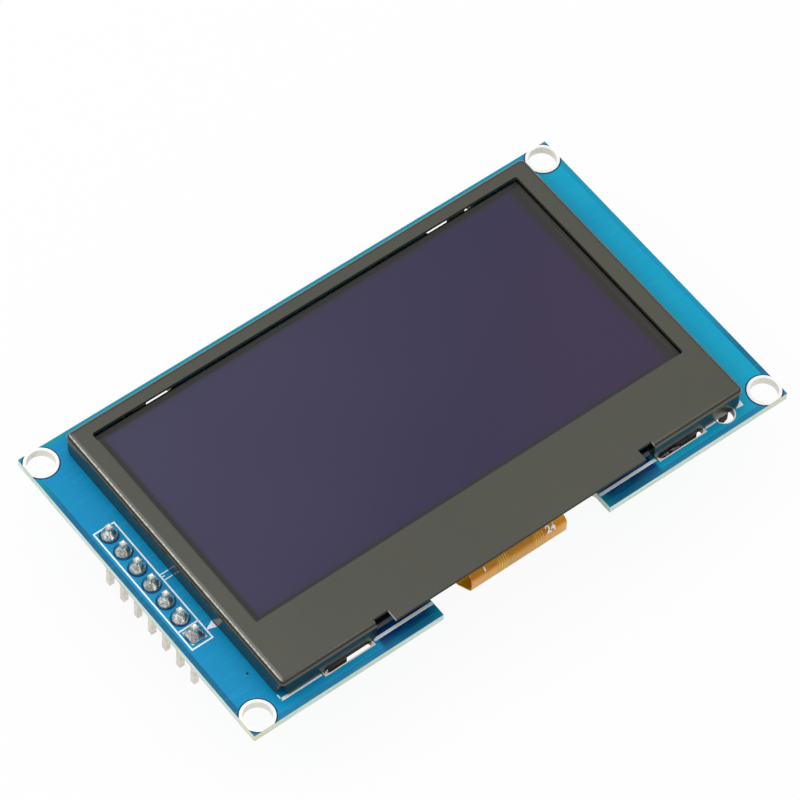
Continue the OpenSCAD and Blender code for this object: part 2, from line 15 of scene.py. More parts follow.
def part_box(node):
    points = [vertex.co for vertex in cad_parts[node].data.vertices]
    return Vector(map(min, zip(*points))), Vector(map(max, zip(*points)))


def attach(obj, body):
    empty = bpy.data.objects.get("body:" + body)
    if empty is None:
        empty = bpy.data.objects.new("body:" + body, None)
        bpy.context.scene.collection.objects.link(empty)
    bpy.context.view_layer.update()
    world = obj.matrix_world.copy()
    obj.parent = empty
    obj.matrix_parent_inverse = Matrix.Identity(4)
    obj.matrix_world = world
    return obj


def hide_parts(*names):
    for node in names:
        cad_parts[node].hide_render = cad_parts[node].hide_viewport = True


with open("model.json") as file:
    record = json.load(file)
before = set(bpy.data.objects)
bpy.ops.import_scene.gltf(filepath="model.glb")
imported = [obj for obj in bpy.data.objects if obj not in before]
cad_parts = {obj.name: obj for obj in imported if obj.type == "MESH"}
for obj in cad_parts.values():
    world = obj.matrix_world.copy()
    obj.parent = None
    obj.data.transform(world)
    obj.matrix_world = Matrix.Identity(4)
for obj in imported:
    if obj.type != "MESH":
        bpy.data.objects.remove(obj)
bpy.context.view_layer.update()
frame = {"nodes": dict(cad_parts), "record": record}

MM = 0.001
NODES = frame["nodes"]
HOLES = frame["record"]["mounts"][0]["dims"]


def corners(node):
    """Lowest and highest corner of a node, in millimetres."""
    return [np.array(corner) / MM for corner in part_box(node)]


def solids(node):
    """Lowest and highest corners of each separate solid in a node, from left to right. Points in
    one place count as one, and each solid's points take the lowest number that reaches them
    along the edges of its triangles."""
    mesh = NODES[node].data
    points = np.empty(len(mesh.vertices) * 3)
    ends = np.empty(len(mesh.edges) * 2, int)
    mesh.vertices.foreach_get("co", points)
    mesh.edges.foreach_get("vertices", ends)
    points = points.reshape(-1, 3) / MM
    place = np.unique(points.round(4), axis=0, return_inverse=True)[1].ravel()
    ends = place[ends].reshape(-1, 2)
    number, before = np.arange(len(points)), None
    while not np.array_equal(number, before):
        before = number.copy()
        lowest = before[ends].min(1)
        np.minimum.at(number, ends[:, 0], lowest)
        np.minimum.at(number, ends[:, 1], lowest)
    solid = number[place]
    parts = [points[solid == one] for one in np.unique(solid)]
    boxes = [(part.min(0), part.max(0)) for part in parts]
    return sorted(boxes, key=lambda box: tuple(box[0]))


BOARD_LOW, BOARD_HIGH = corners("board")
FLEX_LOW, FLEX_HIGH = corners("flex_cable")
REAR_Z = BOARD_LOW[2]
PLATE_Z = corners("bezel")[1][2]
PINS = [sum(corners(name)) / 2 for name in sorted(NODES) if name.startswith("header_pin_")]
PIN_PITCH = abs(PINS[0][1] - PINS[1][1])
PAD_LOW, PAD_HIGH = solids("pin_pads")[0]
PAD_R = (PAD_HIGH[0] - PAD_LOW[0]) / 2
RING_R = 1.95              # the mounting rings
SHEET_T = 0.4              # the bezel's steel
SINK = 0.004               # print and copper start this far inside the board


# ---------------------------------------------------------------- shader maths

class Signal:
    """A socket whose value varies over a surface, with arithmetic that adds Math nodes."""

    def __init__(self, nodes, socket):
        self.nodes = nodes
        self.socket = socket

    def maths(self, operation, *values):
        """A Math node on its values."""
        return self.nodes.node("ShaderNodeMath", {"operation": operation}, *values)

    def __add__(self, other):
        return self.maths("ADD", self, other)

    def __sub__(self, other):
        return self.maths("SUBTRACT", self, other)

    def __rsub__(self, other):
        return self.maths("SUBTRACT", other, self)

    def __mul__(self, other):
        return self.maths("MULTIPLY", self, other)

    __radd__ = __add__
    __rmul__ = __mul__

    def __abs__(self):
        return self.maths("ABSOLUTE", self)

    def least(self, other):
        return self.maths("MINIMUM", self, other)

    def most(self, other):
        return self.maths("MAXIMUM", self, other)

    def root(self):
        return self.maths("SQRT", self)

    def off_multiple(self, pitch):
        """Distance to the nearest multiple of pitch."""
        return self.maths("PINGPONG", self, pitch / 2)


class Nodes:
    """A node tree that is written as expressions."""

    def __init__(self, tree):
        self.tree = tree

    def node(self, kind, settings=None, *values, out=0, at=None, **sockets):
        """Any node: its settings first, then values or links by order, by index or by name."""
        made = self.tree.nodes.new(kind)
        for name, value in (settings or {}).items():
            setattr(made, name, value)
        plugs = dict(enumerate(values)) | (at or {})
        plugs |= {name.replace("_", " "): value for name, value in sockets.items()}
        for key, value in plugs.items():
            self.plug(made.inputs[key], value)
        return Signal(self, made.outputs[out])

    def plug(self, socket, value):
        """Links a signal into a socket, or sets the socket to a number or a colour."""
        if isinstance(value, Signal):
            self.tree.links.new(value.socket, socket)
        elif socket.type == "RGBA":
            socket.default_value = (*value, 1)
        else:
            socket.default_value = value

    def split(self, vector):
        """X, Y and Z of a vector."""
        parts = self.node("ShaderNodeSeparateXYZ", None, vector).socket.node.outputs
        return [Signal(self, part) for part in parts]

    def step(self, value, low, high):
        """0 below low, 1 above high, smooth between them."""
        settings = {"interpolation_type": "SMOOTHSTEP"}
        return self.node("ShaderNodeMapRange", settings, value, low, high)

    def ray(self, way):
        """1 for rays of one kind, such as Camera or Glossy."""
        return self.node("ShaderNodeLightPath", out=f"Is {way} Ray")

    def shown(self):
        """1 for rays that bring the background to the eye: straight, mirrored or passed on."""
        return self.ray("Camera").most(self.ray("Glossy")).most(self.ray("Transmission"))


class Finish(Nodes):
    """One procedural material. Its patterns are measured in millimetres on the piece."""

    def __init__(self, name, **constants):
        self.material = bpy.data.materials.new(name)
        self.material.use_nodes = True
        super().__init__(self.material.node_tree)
        self.shader = self.tree.nodes["Principled BSDF"]
        for socket, value in constants.items():
            self.plug(self.shader.inputs[socket.replace("_", " ")], value)
        place = self.node("ShaderNodeTexCoord", out="Object")
        self.place = self.vector("SCALE", place, Scale=1 / MM)
        self.x, self.y, self.z = self.split(self.place)
        self.nx, self.ny, self.nz = self.split(self.node("ShaderNodeNewGeometry", out="Normal"))

    def vector(self, operation, *values, **sockets):
        """A Vector Math node on its values."""
        return self.node("ShaderNodeVectorMath", {"operation": operation}, *values, **sockets)

    def within(self, value, low, high, soft=0.02):
        """1 between low and high, 0 outside them."""
        above = self.step(value, low - soft, low + soft)
        return above * (1 - self.step(value, high - soft, high + soft))

    def ring(self, dx, dy, inner, outer, soft=0.03):
        """1 between two radii round the point where dx and dy are 0."""
        return self.within((dx * dx + dy * dy).root(), inner, outer, soft)

    def noise(self, pitch, detail=2.0, stretch=(1, 1, 1), shift=0.0):
        """Soft noise from 0 to 1, with lumps about pitch times stretch wide."""
        scale = [1 / (pitch * s) for s in stretch]
        place = self.vector("MULTIPLY_ADD", self.place, scale, (shift, shift, shift))
        return self.node("ShaderNodeTexNoise", None, Vector=place, Scale=1.0, Detail=detail)

    def cells(self, pitch):
        """Distance to the nearest of scattered points about pitch apart, in pitches."""
        return self.node("ShaderNodeTexVoronoi", None, Vector=self.place, Scale=1 / pitch)

    def blend(self, factor, first, second):
        """Colour first where factor is 0, second where it is 1."""
        plugs = {0: factor, 6: first, 7: second}
        return self.node("ShaderNodeMix", {"data_type": "RGBA"}, out=2, at=plugs)

    def bump(self, height, depth):
        """Normal of a relief: height from 0 to 1, depth in millimetres."""
        return self.node("ShaderNodeBump", None, Height=height, Distance=depth * MM)

    def feed(self, **sockets):
        """Links what varies into the shader and gives the material."""
        for name, value in sockets.items():
            self.plug(self.shader.inputs[name.replace("_", " ")], value)
        return self.material


# ---------------------------------------------------------------- finishes

POUR_INSET = 0.62          # copper stops this far inside the board's edges
CLEARANCE = 0.16           # bare ring round holes and pads
MASK_BLUE = (0.0, 0.265, 0.53)
MASK_TEAL = (0.0, 0.345, 0.545)
MASK_BARE = (0.004, 0.145, 0.29)
MASK_DARK = (0.0, 0.045, 0.15)
MASK_FRONT = (0.01, 0.205, 0.39)
MASK_BACK = (0.0, 0.30, 0.42)
MASK_RIGHT = (0.0, 0.28, 0.47)
# painted shadow of the bezel's lip on the board, and the lighter teal it lifts to by the flex's
# notch
MASK_PAINTED_SHADOW = (0.0, 0.035, 0.155)
MASK_BY_FLEX = (0.0, 0.24, 0.34)
MASK_STREAK = (0.02, 0.42, 0.66)
LAMINATE = (0.72, 0.86, 0.79)
LAMINATE_DIM = (0.50, 0.60, 0.46)
LAMINATE_WARM = (0.84, 0.78, 0.50)
GLASS_FIBRE = (0.92, 0.95, 0.88)
LAMINATE_SKIN = (0.10, 0.36, 0.42)


def mask_colour(f, pour, bare):
    """Mask on the board's faces: blue to teal over copper, darker along the bare edges, darkest
    round what is plated, and a painted shadow beside the bezel's lip."""
    # random tone, plus painted light that lightens the mask towards the right and the front
    mask_tone_and_painted_light = f.step(f.noise(16, 1.5) + f.x * 0.007 - f.y * 0.005, 0.3, 0.75)
    over_copper = f.blend(mask_tone_and_painted_light, MASK_BLUE, MASK_TEAL)
    edge = f.blend(f.step(f.y, 12, 20), MASK_BARE, MASK_BACK)
    edge = f.blend(f.step(f.x, 30, 33) * f.step(f.y, -14, -6), edge, MASK_RIGHT)
    edge = f.blend(f.step(f.y, -20.4, -19.6), MASK_FRONT, edge)
    mask = f.blend(pour, edge, over_copper)
    # painted shadow of the bezel's lip on the front face: navy by the lip, paler towards the
    # board's edge, teal by the flex's notch
    lip_shadow_area = (1 - f.step(abs(f.x), 18.4, 19.0)) * (1 - f.step(f.y, -17.8, -17.4))
    lip_painted_shadow = f.blend(f.step(f.y, -20.9, -19.45), MASK_BARE, MASK_PAINTED_SHADOW)
    lip_painted_shadow = f.blend((1 - f.step(abs(f.x), 11.2, 12.9)) * 0.85, lip_painted_shadow, MASK_BY_FLEX)
    mask = f.blend(lip_shadow_area * f.step(f.nz, -0.2, 0.2), mask, lip_painted_shadow)
    return f.blend(bare, mask, MASK_DARK)


def laminate_colour(f, fibres):
    """The board's cut edges: layers of glass cloth, yellower towards the front corners, between
    two skins of mask."""
    layers = f.noise(0.11, 3, stretch=(40, 40, 1))
    core = f.blend(f.step(layers, 0.35, 0.7), LAMINATE, LAMINATE_DIM)
    core = f.blend(f.step(fibres, 0.5, 0.7) * 0.6, core, GLASS_FIBRE)
    warm = f.step(abs(f.x), 31, 36) * (1 - f.step(f.y, -21, -15))
    core = f.blend(warm * 0.6, core, LAMINATE_WARM)
    skin = f.step(f.z, -0.07, -0.03).most(1 - f.step(f.z, REAR_Z + 0.03, REAR_Z + 0.07))
    return f.blend(skin * 0.8, core, LAMINATE_SKIN)


def mask_finish():
    """Blue solder mask over a copper pour, which stops short of the board's edges and of the
    plated rings. The board's cut edges show laminate."""
    f = Finish("solder_mask_blue", Specular_IOR_Level=0.17)
    flat = f.step(abs(f.nz), 0.4, 0.8)
    inset = (BOARD_HIGH[0] - abs(f.x)).least(BOARD_HIGH[1] - abs(f.y))
    pour = f.step(inset, POUR_INSET - 0.05, POUR_INSET + 0.05)
    hole_x = abs(f.x) - HOLES["spacing_x_mm"] / 2
    hole_y = abs(f.y) - HOLES["spacing_y_mm"] / 2
    by_holes = f.ring(hole_x, hole_y, HOLES["hole_r_mm"], RING_R + CLEARANCE)
    row = f.within(f.y, PINS[-1][1] - PAD_R, PINS[0][1] + PAD_R)
    pin_x, pin_y = f.x - PINS[0][0], f.y.off_multiple(PIN_PITCH)
    bare = by_holes.most(f.ring(pin_x, pin_y, 0.5, PAD_R + CLEARANCE) * row)
    streaks = f.noise(0.5, 3, stretch=(6, 1, 1))
    fibres = f.noise(0.22, 3, stretch=(2.5, 2.5, 0.4))
    mask = f.blend(f.step(streaks, 0.52, 0.66) * 0.14, mask_colour(f, pour, bare), MASK_STREAK)
    relief = f.noise(0.45, 2) * 0.3 + pour * (1 - bare) * 0.7
    return f.feed(
        Base_Color=f.blend(flat, laminate_colour(f, fibres), mask),
        Roughness=0.75 - flat * 0.43 + streaks * flat * 0.08,
        Normal=f.bump(relief * flat + fibres * (1 - flat), 0.03),
    )


def track_finish():
    """Solder mask over a raised copper track: a little lighter than the pour beside it."""
    f = Finish("solder_mask_track", Specular_IOR_Level=0.2)
    drift = f.noise(3, 2)
    rear = f.blend(drift, (0.01, 0.38, 0.64), (0.06, 0.48, 0.72))
    return f.feed(Base_Color=f.blend(f.step(f.nz, -0.2, 0.2), rear, (0.01, 0.29, 0.52)),
                  Roughness=0.28 + drift * 0.1, Normal=f.bump(f.noise(0.3), 0.008))


COAT_DARK = (0.006, 0.007, 0.002)
COAT_PALE = (0.020, 0.021, 0.011)
COAT_WORN_AND_HIGHLIGHT = (0.40, 0.40, 0.345)
COAT_BEND_REFLECTION = (0.05, 0.05, 0.045)
COAT_SPECK = (0.10, 0.10, 0.09)
CUT_EDGE = (0.010, 0.010, 0.009)
NOTCH_EDGE = (0.45, 0.46, 0.44)
TAB_STEEL = (0.16, 0.15, 0.13)
BEND_DROP = 0.7            # the bends end this far below the plate's face


def bezel_finish():
    """Glossy black coat on sheet steel: a fine orange peel with a grain along X, and a painted
    light gradient across the plate. Along the bends the coat is worn to lighter lines, with a
    painted highlight strongest on the left bend, and a painted reflection band lies where the bends
    turn down. The cut edges show more steel, as do the twisted ends of the tabs."""
    f = Finish("black_coated_steel", IOR=1.78, Specular_Tint=(1.0, 1.0, 0.90))
    peel = f.noise(0.2, 3)
    grain = f.noise(0.3, 2, stretch=(10, 1, 1))
    specks = 1 - f.step(f.cells(1.0), 0.02, 0.05)
    high = f.step(f.z, PLATE_Z - BEND_DROP - 0.05, PLATE_Z - BEND_DROP)
    rub_and_highlight_band = f.within(f.nz, 0.80, 0.94, 0.04) * high
    # painted reflection: a lighter band where the bends turn down
    bend_painted_reflection = f.within(f.nz, 0.30, 0.62, 0.08) * high
    on_left = f.step(-1 * f.nx, 0.2, 0.4)
    upright = 1 - f.step(abs(f.nz), 0.05, 0.3)
    cut = upright * f.step(f.z, PLATE_Z - SHEET_T - 0.03, PLATE_Z - SHEET_T + 0.02)
    notch = cut * f.step(abs(f.nx), 0.5, 0.8) * (1 - f.step(f.y, -18.6, -18.4))
    in_slot = 1 - f.step(f.z, -0.15, 0.05)
    tail = (1 - f.step(f.z, REAR_Z - 0.3, REAR_Z)) * f.step(f.noise(0.5, 3), 0.42, 0.6)
    # random tone of the coat, plus a painted light gradient: paler towards the front right, darker
    # towards the back left
    coat_tone_and_painted_light = f.noise(7, 2) * 0.6 + f.step(f.x * 0.9 - f.y * 0.4, -24, 30) * 0.4
    # wear along the bends, plus a painted highlight that is strongest on the left bend
    wear_and_painted_highlight = rub_and_highlight_band * (0.12 + on_left * 0.88) * f.step(peel + grain, 0.5, 1.3)
    color = f.blend(coat_tone_and_painted_light, COAT_DARK, COAT_PALE)
    color = f.blend(wear_and_painted_highlight, color, COAT_WORN_AND_HIGHLIGHT)
    color = f.blend(bend_painted_reflection * f.step(grain, 0.35, 0.6) * 0.3, color, COAT_BEND_REFLECTION)
    color = f.blend(cut * 0.7, color, CUT_EDGE)
    color = f.blend(notch, color, NOTCH_EDGE)
    color = f.blend(specks * 0.6, color, COAT_SPECK)
    color = f.blend(tail * 0.7, color, TAB_STEEL)
    return f.feed(
        Base_Color=color,
        Roughness=0.18 + peel * 0.08 + specks * 0.2 + rub_and_highlight_band * 0.06 + cut.most(in_slot) * 0.7,
        Normal=f.bump(peel * 0.6 + grain * 0.4, 0.004),
    )


AREA_MIDDLE = (-0.22, 3.01)    # the lit area
AREA_HALF = (27.5, 13.74)
BAND_MIDDLE_Y = 2.95           # painted light: the border is paler outside this rectangle
BAND_HALF = (28.34, 14.09)
BAND_END = (28.85, 28.98)      # and dark again beyond this, under the plate's short sides
CELL = 0.43                    # pitch of the picture cells
VIOLET = (0.0115, 0.0050, 0.050)
VIOLET_PAINTED_REFLECTION = (0.031, 0.027, 0.076)
VIOLET_RED = (0.021, 0.0045, 0.046)
CELL_GAP = (0.004, 0.003, 0.012)
BORDER_DARK = (0.005, 0.0045, 0.002)
BORDER_PALE = (0.011, 0.011, 0.007)
BORDER_PAINTED_LIGHT = (0.076, 0.071, 0.069)
FILM_EDGE = (0.01, 0.01, 0.01)


def film_finish():
    """The panel seen through its polarizer: a violet lit area of square picture cells, with a
    painted reflection that makes it paler towards the left and the back, a blacker border where
    only glass lies behind, a soft change between them, and a narrow band by the window's edge
    painted paler as light that offsets the plate's shadow."""
    f = Finish("panel_film", IOR=1.5)
    x, y = f.x - AREA_MIDDLE[0], f.y - AREA_MIDDLE[1]
    beyond = (abs(x) - AREA_HALF[0]).most(abs(y) - AREA_HALF[1])
    outside = f.step(beyond, -0.3, 0.35)
    grid = 1 - f.step(x.off_multiple(CELL).least(y.off_multiple(CELL)), 0.02, 0.06)
    # painted reflection: the lit area is paler towards the left and the back
    painted_reflection_left = f.step(x * 0.7 - y * 0.7 + f.noise(20, 1) * 16, 22, -26)
    to_right = f.step(x * 0.8 - y * 0.6 + f.noise(18, 1, shift=4.0) * 14, 12, 34)
    violet = f.blend(painted_reflection_left, VIOLET, VIOLET_PAINTED_REFLECTION)
    violet = f.blend(to_right * 0.8, violet, VIOLET_RED)
    violet = f.blend(grid * 0.12, violet, CELL_GAP)
    # painted light: a paler band by the window's edge offsets the plate's shadow on the border
    in_band = (abs(f.x) - BAND_HALF[0]).most(abs(f.y - BAND_MIDDLE_Y) - BAND_HALF[1])
    band = f.step(in_band, -0.1, 0.1) - f.step(abs(f.x), *BAND_END)
    border = f.blend(f.noise(5, 2), BORDER_DARK, BORDER_PALE)
    border = f.blend(band, border, BORDER_PAINTED_LIGHT)
    top = f.step(f.nz, 0.4, 0.8)
    return f.feed(
        Base_Color=f.blend(top, FILM_EDGE, f.blend(outside, violet, border)),
        Roughness=0.07 + f.noise(0.4, 2) * 0.04,
        Normal=f.bump(f.noise(0.5, 2), 0.0012),
    )


def glass_finish():
    """Dark glass: polished faces and finely ground edges."""
    f = Finish("panel_glass", IOR=1.5)
    edge = 1 - f.step(abs(f.nz), 0.4, 0.8)
    ground = f.noise(0.08, 3)
    return f.feed(Base_Color=f.blend(edge * ground, (0.006, 0.008, 0.010), (0.03, 0.045, 0.05)),
                  Roughness=0.06 + edge * 0.16, Normal=f.bump(ground * edge, 0.004))


def tape_finish():
    """White double-sided tape with open cells at its cut edge."""
    f = Finish("foam_tape", Roughness=0.9)
    pores = f.cells(0.12)
    return f.feed(Base_Color=f.blend(pores, (0.58, 0.58, 0.55), (0.76, 0.76, 0.73)),
                  Normal=f.bump(pores, 0.03))


def silicon_finish():
    """Polished die with a faint lattice of blocks."""
    f = Finish("silicon_die", Metallic=0.3)
    lattice = f.step(f.x.off_multiple(0.9).least(f.y.off_multiple(0.35)), 0.02, 0.04)
    return f.feed(Base_Color=f.blend(lattice, (0.10, 0.10, 0.12), (0.035, 0.035, 0.045)),
                  Roughness=0.12 + f.noise(0.4) * 0.1)


AMBER = (0.98, 0.39, 0.004)
AMBER_PALE = (1.0, 0.48, 0.012)
AMBER_PAINTED_SHEEN = (1.0, 0.54, 0.11)
AMBER_PAINTED_SHADE = (0.50, 0.20, 0.0)
AMBER_BETWEEN = (0.58, 0.20, 0.0)
AMBER_TRACK = (1.0, 0.66, 0.06)
TRACKS_X = 0.3             # middle of the copper tracks in the film
TRACKS_HALF = 3.2


def flex_finish():
    """Clear amber film with copper tracks inside: wide ones at each side of a finer set, with a
    painted sheen on its upright faces and a painted band of shade partway round its bend.
    """
    f = Finish("amber_film", IOR=1.5, Transmission_Weight=0.45, Specular_IOR_Level=0.2)
    off = abs(f.x - TRACKS_X)
    wide = f.within(off, 1.7, TRACKS_HALF, 0.01) * f.step(f.x.off_multiple(0.31), 0.05, 0.08)
    fine = f.within(off, 0.0, 1.6, 0.01) * f.step(f.x.off_multiple(0.155), 0.02, 0.04)
    tracks = wide.most(fine * 0.3)
    between = f.within(off, 0.0, TRACKS_HALF, 0.05) * (1 - tracks)
    drift = f.noise(1.6, 2, stretch=(4, 1, 1))
    amber = f.blend(drift, AMBER, AMBER_PALE)
    # painted sheen: the upright faces are lighter tan
    amber = f.blend(1 - f.step(f.nz, 0.0, 0.35), amber, AMBER_PAINTED_SHEEN)
    # painted shade: a darker band partway round the bend
    amber = f.blend(f.within(f.nz, 0.45, 0.86, 0.06) * 0.55, amber, AMBER_PAINTED_SHADE)
    amber = f.blend(between * 0.4, amber, AMBER_BETWEEN)
    return f.feed(
        Base_Color=f.blend(tracks * 0.85, amber, AMBER_TRACK),
        Roughness=0.30 + drift * 0.08,
        Normal=f.bump(tracks * 0.7 + f.noise(0.5) * 0.3, 0.025),
    )


def solder_finish(name, bright, dim):
    """Tin alloy: bright where it flowed well, dim in patches, pitted, and darker by the pad with
    flux and painted contact shade.
    """
    f = Finish(name, Metallic=1.0)
    lumps = f.noise(0.32, 3)
    pit = 1 - f.step(f.cells(0.5), 0.05, 0.13)
    dull = f.step(f.noise(0.5, 3, shift=5.0), 0.40, 0.62)
    color = f.blend(dull, bright, dim)
    color = f.blend(pit * 0.7, color, (0.10, 0.075, 0.05))
    # flux by the pad, with painted contact shade darkening the foot
    foot = 1 - f.step(abs(f.z - REAR_Z / 2) + REAR_Z / 2, 0.06, 0.26)
    color = f.blend(foot * 0.7, color, (0.10, 0.10, 0.14))
    return f.feed(
        Base_Color=color,
        Roughness=0.12 + dull * 0.20,
        Normal=f.bump(lumps - pit * 0.6, 0.07),
    )


def plating_finish(name, bright, shade):
    """Levelled tin on copper: pale and soft on the faces, with painted shade darkening the upright
    faces down the barrels.
    """
    f = Finish(name, Metallic=0.25)
    uneven = f.noise(0.5, 3)
    barrel = 1 - f.step(abs(f.nz), 0.3, 0.7)
    color = f.blend(uneven, bright, tuple(c * 0.9 for c in bright))
    # painted shade down the barrels and on upright faces
    color = f.blend(barrel * (0.5 + uneven), color, shade)
    return f.feed(Base_Color=color, Roughness=0.30 + uneven * 0.2, Normal=f.bump(uneven, 0.010))


def pin_finish():
    """Tinned brass, drawn along its length, with a warm cast where the tin is thin and a painted
    highlight that makes the tips lighter.
    """
    f = Finish("tinned_brass", Metallic=0.8)
    drawn = f.noise(0.16, 3, stretch=(1, 1, 14))
    warm = f.step(f.noise(0.9, 2), 0.4, 0.65)
    color = f.blend(warm * 0.6, (0.74, 0.71, 0.64), (0.62, 0.54, 0.47))
    # painted highlight: the tips above 1.9 mm are lighter
    color = f.blend(f.step(f.z, 1.5, 1.9), color, (0.98, 0.96, 0.86))
    return f.feed(Base_Color=color, Roughness=0.28 + drawn * 0.22, Normal=f.bump(drawn, 0.008))


def moulded_finish():
    """Moulded black plastic with a fine spark-eroded grain."""
    f = Finish("black_moulding")
    fine = f.noise(0.22, 3)
    color = f.blend(f.step(fine, 0.4, 0.7), (0.012, 0.012, 0.012), (0.024, 0.024, 0.024))
    return f.feed(Base_Color=color, Roughness=0.5 + fine * 0.15, Normal=f.bump(fine, 0.012))


def band_finish(node, low, high):
    """Moulded black plastic with a printed grey band between low and high along X."""
    f = Finish("banded_" + node)
    fine = f.noise(0.22, 3)
    band = f.within(f.x, low, high) * (1 - f.step(f.nz, -0.8, -0.6))
    inked = band * f.step(fine, 0.2, 0.45)
    return f.feed(Base_Color=f.blend(inked, (0.014, 0.014, 0.014), (0.42, 0.42, 0.40)),
                  Roughness=0.5 + fine * 0.15, Normal=f.bump(fine, 0.012))


def ferrite_finish():
    """Pressed ferrite powder in resin, with brighter grains."""
    f = Finish("pressed_ferrite")
    fine = f.noise(0.13, 4)
    grains = 1 - f.step(f.cells(0.16), 0.1, 0.3)
    color = f.blend(f.step(fine, 0.45, 0.6), (0.030, 0.030, 0.033), (0.060, 0.060, 0.062))
    return f.feed(Base_Color=f.blend(grains * 0.4, color, (0.14, 0.14, 0.14)),
                  Roughness=0.7 - grains * 0.2, Normal=f.bump(fine, 0.03))


def chip_part_finish(node, axis, end, body, lighter):
    """Ceramic chip part: a body between two tinned ends, each end millimetres long."""
    low, high = corners(node)
    f = Finish("ceramic_" + node)
    along = f.x if axis == 0 else f.y
    ends = 1 - f.within(along, low[axis] + end, high[axis] - end, 0.01)
    fine = f.noise(0.12, 3)
    tin = f.blend(fine, (0.55, 0.55, 0.52), (0.76, 0.75, 0.72))
    return f.feed(Base_Color=f.blend(ends, f.blend(fine, body, lighter), tin), Metallic=ends * 0.8,
                  Roughness=0.5 - ends * 0.15 + fine * 0.1, Normal=f.bump(fine, 0.012))


def ink_finish():
    """White printing ink, slightly uneven in its cover."""
    f = Finish("white_ink", Roughness=0.55)
    cover = f.noise(0.18, 3)
    color = f.blend(f.step(cover, 0.3, 0.6), (0.80, 0.88, 0.94), (0.93, 0.98, 1.0))
    return f.feed(Base_Color=color, Normal=f.bump(cover, 0.01))


def pit_finish():
    """Shadowed mouth of a filled via."""
    f = Finish("via_mouth", Roughness=0.8)
    return f.feed(Base_Color=f.blend(f.noise(0.1), (0.0, 0.01, 0.03), (0.01, 0.04, 0.08)))


# ---------------------------------------------------------------- surfaces

def piece_from(name, grids, finish, closed=(False, True), capped=True, smooth=False):
    """One piece from grids of points, rows by columns by 3. Quads join neighbours; closed says
    whether rows and columns wrap round. Capped grids get a face over their first and last row."""
    points, faces, start = [], [], 0
    for grid in grids:
        rows, columns = grid.shape[:2]
        index = start + np.arange(rows * columns).reshape(rows, columns)
        wrapped = np.pad(index, [(0, int(closed[0])), (0, int(closed[1]))], mode="wrap")
        quads = np.stack([wrapped[:-1, :-1], wrapped[1:, :-1], wrapped[1:, 1:], wrapped[:-1, 1:]],
                         axis=-1)
        faces += quads.reshape(-1, 4).tolist()
        if capped:
            faces += [index[0].tolist(), index[-1].tolist()]
        points.append(grid.reshape(-1, 3))
        start += rows * columns
    mesh = bpy.data.meshes.new(name)
    mesh.from_pydata((np.concatenate(points) * MM).tolist(), [], faces)
    return hang(name, mesh, finish, smooth)


def hang(name, mesh, finish, smooth):
    """Closes a mesh's seams, turns its faces outwards and hangs it on the module."""
    shape = bmesh.new()
    shape.from_mesh(mesh)
    bmesh.ops.remove_doubles(shape, verts=shape.verts, dist=1e-7)
    bmesh.ops.recalc_face_normals(shape, faces=shape.faces)
    shape.to_mesh(mesh)
    shape.free()
    mesh.polygons.foreach_set("use_smooth", [smooth] * len(mesh.polygons))
    mesh.materials.clear()
    mesh.materials.append(finish)
    piece = bpy.data.objects.new(name, mesh)
    bpy.context.scene.collection.objects.link(piece)
    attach(piece, "root")
    return piece


def swept(path, section, closed):
    """A section carried along a flat path. At each point the section's first number runs along the
    mitre, which is the sum of the neighbouring normals over one plus their dot product, and its
    second number is a height."""
    path, section = np.asarray(path, float), np.asarray(section, float)
    runs = np.roll(path, -1, 0) - path if closed else np.diff(path, axis=0)
    before = np.roll(runs, 1, 0) if closed else np.vstack([runs[:1], runs])
    after = runs if closed else np.vstack([runs, runs[-1:]])
    turned = [np.stack([-run[:, 1], run[:, 0]], 1) / np.linalg.norm(run, axis=1)[:, None]
              for run in (before, after)]
    mitre = (turned[0] + turned[1]) / (1 + (turned[0] * turned[1]).sum(1))[:, None]
    flat = path[:, None, :] + mitre[:, None, :] * section[None, :, :1]
    height = np.broadcast_to(section[None, :, 1:], (*flat.shape[:2], 1))
    return np.concatenate([flat, height], 2)


def line(width, *points):
    """An open line for strips."""
    return points, width, False


def frame_line(width, *box):
    """A closed line for strips, round a rectangle."""
    return box_outline(*box), width, True


def bar(width, thick, face, up):
    """Section of a thin strip on a face: sloping sides, sunk a little into the board."""
    half, slope = width / 2, min(0.03, width / 6)
    return [(-half, face - up * SINK), (-half + slope, face + up * thick),
            (half - slope, face + up * thick), (half, face - up * SINK)]


def strips(name, lines, thick, face, up, finish):
    """Strips on a face of the board, each (points, width, closed), in at most two pieces."""
    for closed, part in ((True, "frames"), (False, "lines")):
        grids = [swept(path, bar(width, thick, face, up), loop)
                 for path, width, loop in lines if loop == closed]
        if grids:
            piece_from(f"{name}_{part}", grids, finish, (closed, True), not closed)


def slab(outline, thick, face, up):
    """A flat piece on a face: its outline twice, sunk a little and raised by its thickness."""
    outline = np.asarray(outline, float)
    levels = [face - up * SINK, face + up * thick]
    return np.stack([np.column_stack([outline, np.full(len(outline), level)]) for level in levels])


def box_outline(x0, y0, x1, y1, r=0.0, steps=5):
    """A rectangle with corners of radius r: quarter circles round four centres, each a quarter
    turn on from the last."""
    if r == 0:
        return [(x0, y0), (x1, y0), (x1, y1), (x0, y1)]
    centres = np.array([(x1 - r, y1 - r), (x0 + r, y1 - r), (x0 + r, y0 + r), (x1 - r, y0 + r)])
    angle = np.linspace(0, math.pi / 2, steps) + np.arange(4)[:, None] * math.pi / 2
    arcs = centres[:, None, :] + r * np.stack([np.cos(angle), np.sin(angle)], -1)
    return arcs.reshape(-1, 2)


